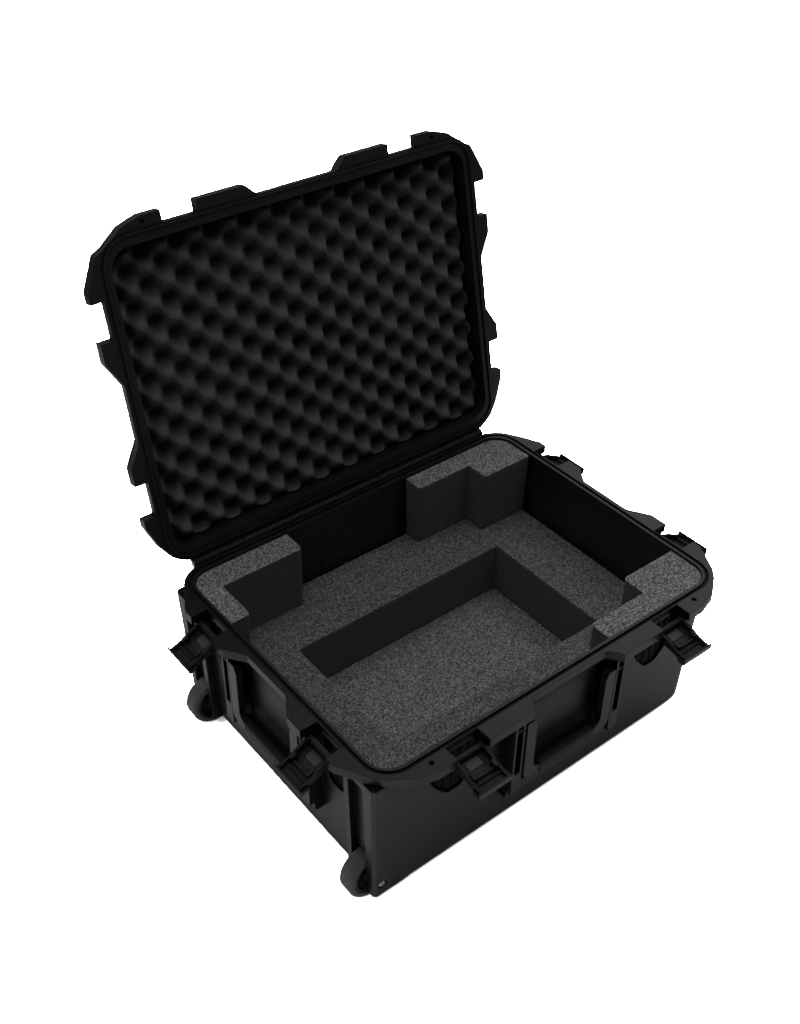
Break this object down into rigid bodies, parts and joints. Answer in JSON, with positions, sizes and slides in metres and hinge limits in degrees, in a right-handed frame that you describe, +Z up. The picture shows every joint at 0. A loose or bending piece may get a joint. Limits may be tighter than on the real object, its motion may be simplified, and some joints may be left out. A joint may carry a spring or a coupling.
{
  "type": "wheeled hard carrying case for a drone",
  "caption": "Hard carrying case for a drone with hinged lid, egg-crate lid foam, cut base foam, throw latches, fold-down carry handles, wheels and a pull-out trolley grip.",
  "frame": {"origin": "on the ground, in the middle of the foot pad skid_centre, under the centre of the base's gasket rectangle", "axes": "+X along the long side towards the trolley grip end (the wheels are at -X), +Y from the front latches to the hinge, +Z up. The row is stored with the lid open, the latches open, the handles folded down and the trolley grip pushed in"},
  "size_m": [0.7092, 0.6649, 0.7014],
  "materials": {
    "shell": "black injection-moulded polypropylene with a fine satin texture",
    "fittings": "black glass-filled nylon, smoother than the shell",
    "buttons": "dark grey nylon",
    "foam": "charcoal closed-cell polyethylene foam, speckled cut cells",
    "convoluted_foam": "dark grey egg-crate foam, fully matte",
    "gasket": "black sealing ring, matte",
    "soft_grip": "black rubberised grip with fine ribs",
    "wheel_tyre": "black polyurethane wheel tread",
    "steel": "stainless steel pins and screws",
    "anodised_aluminium": "black anodised extrusions, satin"
  },
  "bodies": {
    "base": {"base_shell": "shell", "base_gasket": "gasket", "foam_floor": "foam", "foam_tray": "foam", "foam_block_left_back": "foam", "foam_block_back_right": "foam", "foam_block_front_right": "foam", "hinge_pin": "steel", "pressure_valve": "fittings", "trolley_housing": "shell", "trolley_tube_front": "anodised_aluminium", "trolley_tube_back": "anodised_aluminium", "housing_screw_1": "steel", "housing_screw_2": "steel", "housing_screw_3": "steel", "housing_screw_4": "steel", "latch_pin_front_left": "steel", "latch_pin_front_right": "steel", "latch_pin_left_front": "steel", "latch_pin_left_back": "steel", "latch_pin_right_front": "steel", "latch_pin_right_back": "steel", "handle_pin_front_a": "steel", "handle_pin_front_b": "steel", "handle_pin_left_a": "steel", "handle_pin_left_b": "steel", "handle_pin_right_a": "steel", "handle_pin_right_b": "steel", "wheel_axle_front": "steel", "wheel_axle_back": "steel"},
    "lid": {"lid_shell": "shell", "lid_foam": "convoluted_foam"},
    "latch_front_left": {"latch_front_left": "fittings"},
    "latch_button_front_left": {"latch_button_front_left": "buttons"},
    "latch_front_right": {"latch_front_right": "fittings"},
    "latch_button_front_right": {"latch_button_front_right": "buttons"},
    "latch_left_front": {"latch_left_front": "fittings"},
    "latch_button_left_front": {"latch_button_left_front": "buttons"},
    "latch_left_back": {"latch_left_back": "fittings"},
    "latch_button_left_back": {"latch_button_left_back": "buttons"},
    "latch_right_front": {"latch_right_front": "fittings"},
    "latch_button_right_front": {"latch_button_right_front": "buttons"},
    "latch_right_back": {"latch_right_back": "fittings"},
    "latch_button_right_back": {"latch_button_right_back": "buttons"},
    "handle_front": {"handle_front": "fittings", "handle_grip_front": "soft_grip"},
    "handle_left": {"handle_left": "fittings", "handle_grip_left": "soft_grip"},
    "handle_right": {"handle_right": "fittings", "handle_grip_right": "soft_grip"},
    "wheel_front": {"wheel_tyre_front": "wheel_tyre", "wheel_hub_front": "fittings"},
    "wheel_back": {"wheel_tyre_back": "wheel_tyre", "wheel_hub_back": "fittings"},
    "trolley": {"trolley_rod_front": "anodised_aluminium", "trolley_rod_back": "anodised_aluminium", "trolley_grip": "soft_grip"},
    "trolley_button": {"trolley_button": "buttons"}
  },
  "joints": [
    {"name": "lid_hinge", "type": "hinge", "parent": "base", "child": "lid", "pos_m": [0, 0.2338, 0.239], "axis": [-1, 0, 0], "range_deg": [-102, 0]},
    {"name": "latch_front_left_swing", "type": "hinge", "parent": "base", "child": "latch_front_left", "pos_m": [-0.174, -0.236, 0.222], "axis": [1, 0, 0], "range_deg": [-100, 0]},
    {"name": "latch_button_front_left_press", "type": "slide", "parent": "latch_front_left", "child": "latch_button_front_left", "axis": [0, -0.1736, 0.9848], "range_m": [0, 0.0025], "stiffness_N_per_m": 40},
    {"name": "latch_front_right_swing", "type": "hinge", "parent": "base", "child": "latch_front_right", "pos_m": [0.174, -0.236, 0.222], "axis": [1, 0, 0], "range_deg": [-100, 0]},
    {"name": "latch_button_front_right_press", "type": "slide", "parent": "latch_front_right", "child": "latch_button_front_right", "axis": [0, -0.1736, 0.9848], "range_m": [0, 0.0025], "stiffness_N_per_m": 40},
    {"name": "latch_left_front_swing", "type": "hinge", "parent": "base", "child": "latch_left_front", "pos_m": [-0.304, -0.126, 0.222], "axis": [0, -1, 0], "range_deg": [-110, 0]},
    {"name": "latch_button_left_front_press", "type": "slide", "parent": "latch_left_front", "child": "latch_button_left_front", "axis": [-0.342, 0, 0.9397], "range_m": [0, 0.0025], "stiffness_N_per_m": 40},
    {"name": "latch_left_back_swing", "type": "hinge", "parent": "base", "child": "latch_left_back", "pos_m": [-0.304, 0.1195, 0.222], "axis": [0, -1, 0], "range_deg": [-110, 0]},
    {"name": "latch_button_left_back_press", "type": "slide", "parent": "latch_left_back", "child": "latch_button_left_back", "axis": [-0.342, 0, 0.9397], "range_m": [0, 0.0025], "stiffness_N_per_m": 40},
    {"name": "latch_right_front_swing", "type": "hinge", "parent": "base", "child": "latch_right_front", "pos_m": [0.304, -0.126, 0.222], "axis": [0, 1, 0], "range_deg": [-110, 0]},
    {"name": "latch_button_right_front_press", "type": "slide", "parent": "latch_right_front", "child": "latch_button_right_front", "axis": [0.342, 0, 0.9397], "range_m": [0, 0.0025], "stiffness_N_per_m": 40},
    {"name": "latch_right_back_swing", "type": "hinge", "parent": "base", "child": "latch_right_back", "pos_m": [0.304, 0.1195, 0.222], "axis": [0, 1, 0], "range_deg": [-110, 0]},
    {"name": "latch_button_right_back_press", "type": "slide", "parent": "latch_right_back", "child": "latch_button_right_back", "axis": [0.342, 0, 0.9397], "range_m": [0, 0.0025], "stiffness_N_per_m": 40},
    {"name": "handle_front_lift", "type": "hinge", "parent": "base", "child": "handle_front", "pos_m": [0, -0.233, 0.199], "axis": [-1, 0, 0], "range_deg": [0, 100]},
    {"name": "handle_left_lift", "type": "hinge", "parent": "base", "child": "handle_left", "pos_m": [-0.3005, 0, 0.199], "axis": [0, 1, 0], "range_deg": [0, 100]},
    {"name": "handle_right_lift", "type": "hinge", "parent": "base", "child": "handle_right", "pos_m": [0.3005, 0, 0.199], "axis": [0, -1, 0], "range_deg": [0, 100]},
    {"name": "wheel_front_spin", "type": "hinge", "parent": "base", "child": "wheel_front", "pos_m": [-0.2795, -0.1825, 0.037], "axis": [0, 1, 0], "continuous": true},
    {"name": "wheel_back_spin", "type": "hinge", "parent": "base", "child": "wheel_back", "pos_m": [-0.2795, 0.1825, 0.037], "axis": [0, 1, 0], "continuous": true},
    {"name": "trolley_slide", "type": "slide", "parent": "base", "child": "trolley", "axis": [1, 0, 0], "range_m": [0, 0.36]},
    {"name": "trolley_button_press", "type": "slide", "parent": "trolley", "child": "trolley_button", "axis": [-1, 0, 0], "range_m": [0, 0.0025], "stiffness_N_per_m": 60}
  ]
}
